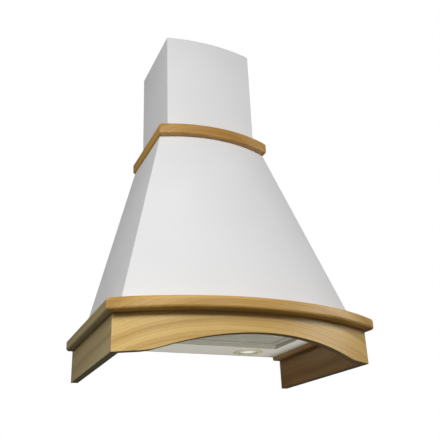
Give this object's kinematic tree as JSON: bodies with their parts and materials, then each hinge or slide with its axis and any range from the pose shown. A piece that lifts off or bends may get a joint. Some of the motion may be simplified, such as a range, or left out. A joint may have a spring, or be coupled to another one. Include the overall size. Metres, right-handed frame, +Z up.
{
  "type": "wall-mounted chimney cooker hood with oak trim",
  "caption": "Wall chimney hood: white steel dome and telescopic chimney over a bowed oak surround with an arched valance, oak collar, drop-down grease filter, lamps and sliders.",
  "frame": {"origin": "midway between the two hanging holes, on the wall plane", "axes": "+Z up, +Y into the wall, +X to the right seen from the front"},
  "size_m": [0.6, 0.4559, 0.882],
  "materials": {
    "oak": "satin lacquered oak",
    "plain_wood": "unfinished beech",
    "white_enamel": "smooth white powder coat",
    "pan_enamel": "light grey enamel",
    "galvanised_steel": "dull zinc",
    "bright_steel": "bright",
    "motor_steel": "dark lacquer",
    "grey_plastic": "moulded",
    "dark_plastic": "moulded",
    "filter_aluminium": "satin",
    "latch_plastic": "moulded",
    "bezel_steel": "satin ring",
    "lamp_glass": "frosted",
    "knob_plastic": "satin",
    "gland_rubber": "matt"
  },
  "bodies": {
    "hood": {"back_panel": "galvanised_steel", "base_pan": "pan_enamel", "blower_housing_left": "grey_plastic", "blower_housing_right": "grey_plastic", "blower_screws": "bright_steel", "cable_gland": "gland_rubber", "capacitor": "grey_plastic", "capacitor_clip": "galvanised_steel", "chimney_lower": "white_enamel", "collar_front": "oak", "collar_left": "oak", "collar_right": "oak", "collar_screws": "bright_steel", "control_plate": "pan_enamel", "control_switch": "dark_plastic", "damper_pin": "bright_steel", "dome_shell": "white_enamel", "glue_blocks": "plain_wood", "lamp_bezel_left": "bezel_steel", "lamp_bezel_right": "bezel_steel", "lamp_bulb_left": "lamp_glass", "lamp_bulb_right": "lamp_glass", "lamp_holder_left": "galvanised_steel", "lamp_holder_right": "galvanised_steel", "motor": "motor_steel", "motor_bracket": "galvanised_steel", "outlet_flange": "grey_plastic", "outlet_spigot": "grey_plastic", "rail_front": "oak", "rail_left": "oak", "rail_right": "oak", "side_board_left": "oak", "side_board_right": "oak", "surround_dowels": "plain_wood", "surround_screws": "bright_steel", "terminal_box": "dark_plastic", "terminal_lid": "dark_plastic", "top_plate": "galvanised_steel", "valance_front": "oak"},
    "chimney_extension": {"chimney_upper": "white_enamel", "chimney_bracket": "galvanised_steel"},
    "filter": {"filter_frame": "filter_aluminium", "filter_mesh": "filter_aluminium", "latch_spring": "bright_steel"},
    "latch": {"filter_latch": "latch_plastic"},
    "wheel": {"impeller": "dark_plastic", "motor_shaft": "bright_steel"},
    "front_flap": {"damper_flap_front": "dark_plastic"},
    "rear_flap": {"damper_flap_rear": "dark_plastic"},
    "speed_control": {"speed_slider": "knob_plastic"},
    "lamp_control": {"lamp_slider": "knob_plastic"}
  },
  "joints": [
    {"name": "chimney_slide", "type": "slide", "parent": "hood", "child": "chimney_extension", "axis": [0, 0, 1], "range_m": [0, 0.24]},
    {"name": "filter_tilt", "type": "hinge", "parent": "hood", "child": "filter", "pos_m": [0, -0.1, -0.35], "axis": [1, 0, 0], "range_deg": [0, 75]},
    {"name": "latch_slide", "type": "slide", "parent": "filter", "child": "latch", "axis": [0, 1, 0], "range_m": [0, 0.006], "stiffness_N_per_m": 400, "springref_m": -0.004, "deforming": ["latch_spring"]},
    {"name": "wheel_spin", "type": "hinge", "parent": "hood", "child": "wheel", "pos_m": [0, -0.177, -0.055], "axis": [1, 0, 0], "continuous": true},
    {"name": "front_flap_swing", "type": "hinge", "parent": "hood", "child": "front_flap", "pos_m": [0, -0.105, 0.141], "axis": [-1, 0, 0], "range_deg": [0, 75]},
    {"name": "rear_flap_swing", "type": "hinge", "parent": "hood", "child": "rear_flap", "pos_m": [0, -0.105, 0.141], "axis": [1, 0, 0], "range_deg": [0, 75]},
    {"name": "speed_slide", "type": "slide", "parent": "hood", "child": "speed_control", "axis": [1, 0, 0], "range_m": [0, 0.024]},
    {"name": "lamp_slide", "type": "slide", "parent": "hood", "child": "lamp_control", "axis": [1, 0, 0], "range_m": [0, 0.008]}
  ]
}
